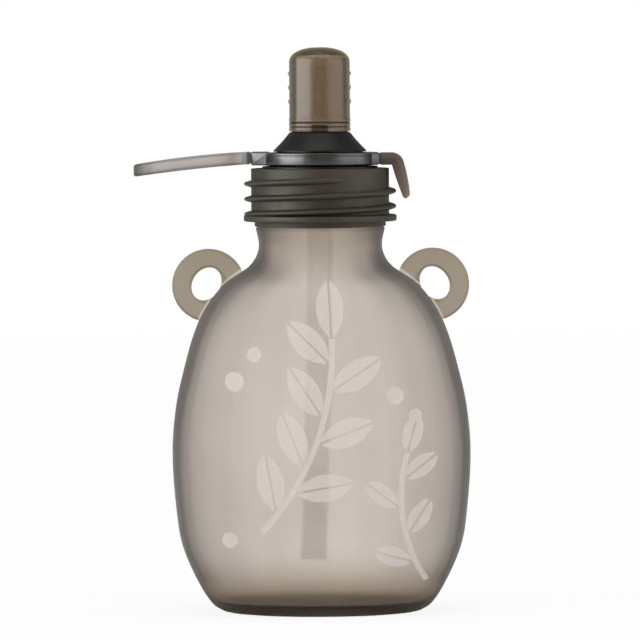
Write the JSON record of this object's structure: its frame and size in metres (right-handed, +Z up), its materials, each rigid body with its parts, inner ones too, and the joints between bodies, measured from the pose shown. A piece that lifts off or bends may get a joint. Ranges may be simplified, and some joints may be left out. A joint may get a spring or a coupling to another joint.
{
  "type": "reusable food pouch",
  "caption": "Squeezable silicone food pouch with shoulder loops, a rigid neck collar, a push-in spout lid with a straw, a finger loop, a pull tab and a spout cap",
  "frame": {"origin": "centre of the flat underside of the bag, on the neck's axis", "axes": "+Z up along the neck's axis, the broad front faces -Y, the finger loop is on -X and the pull tab on +X"},
  "size_m": [0.0942, 0.0544, 0.1584],
  "materials": {
    "bag_silicone": "frosted translucent",
    "collar_plastic": "satin",
    "lid_plastic": "satin",
    "dark_silicone": "glossy",
    "loop_silicone": "frosted translucent",
    "tab_silicone": "translucent satin",
    "cap_plastic": "frosted translucent"
  },
  "bodies": {
    "pouch": {"pouch_body": "bag_silicone", "neck_collar": "collar_plastic"},
    "lid": {"spout_lid": "lid_plastic", "lid_seal": "dark_silicone", "strap_ring": "dark_silicone", "spout_nozzle": "loop_silicone", "straw": "bag_silicone"},
    "cap": {"spout_cap": "cap_plastic"},
    "loop": {"finger_loop": "loop_silicone"},
    "tab": {"pull_tab": "tab_silicone"}
  },
  "joints": [
    {"name": "lid_lift", "type": "slide", "parent": "pouch", "child": "lid", "axis": [0, 0, 1], "range_m": [0, 0.115]},
    {"name": "cap_pull", "type": "slide", "parent": "lid", "child": "cap", "axis": [0, 0, 1], "range_m": [0, 0.03]},
    {"name": "loop_hinge", "type": "hinge", "parent": "lid", "child": "loop", "pos_m": [-0.0212, 0, 0.12715], "axis": [0, 1, 0], "range_deg": [-45, 95], "stiffness_Nm_per_rad": 0.02},
    {"name": "tab_hinge", "type": "hinge", "parent": "lid", "child": "tab", "pos_m": [0.0185, 0, 0.12715], "axis": [0, -1, 0], "range_deg": [0, 90], "stiffness_Nm_per_rad": 0.02}
  ]
}
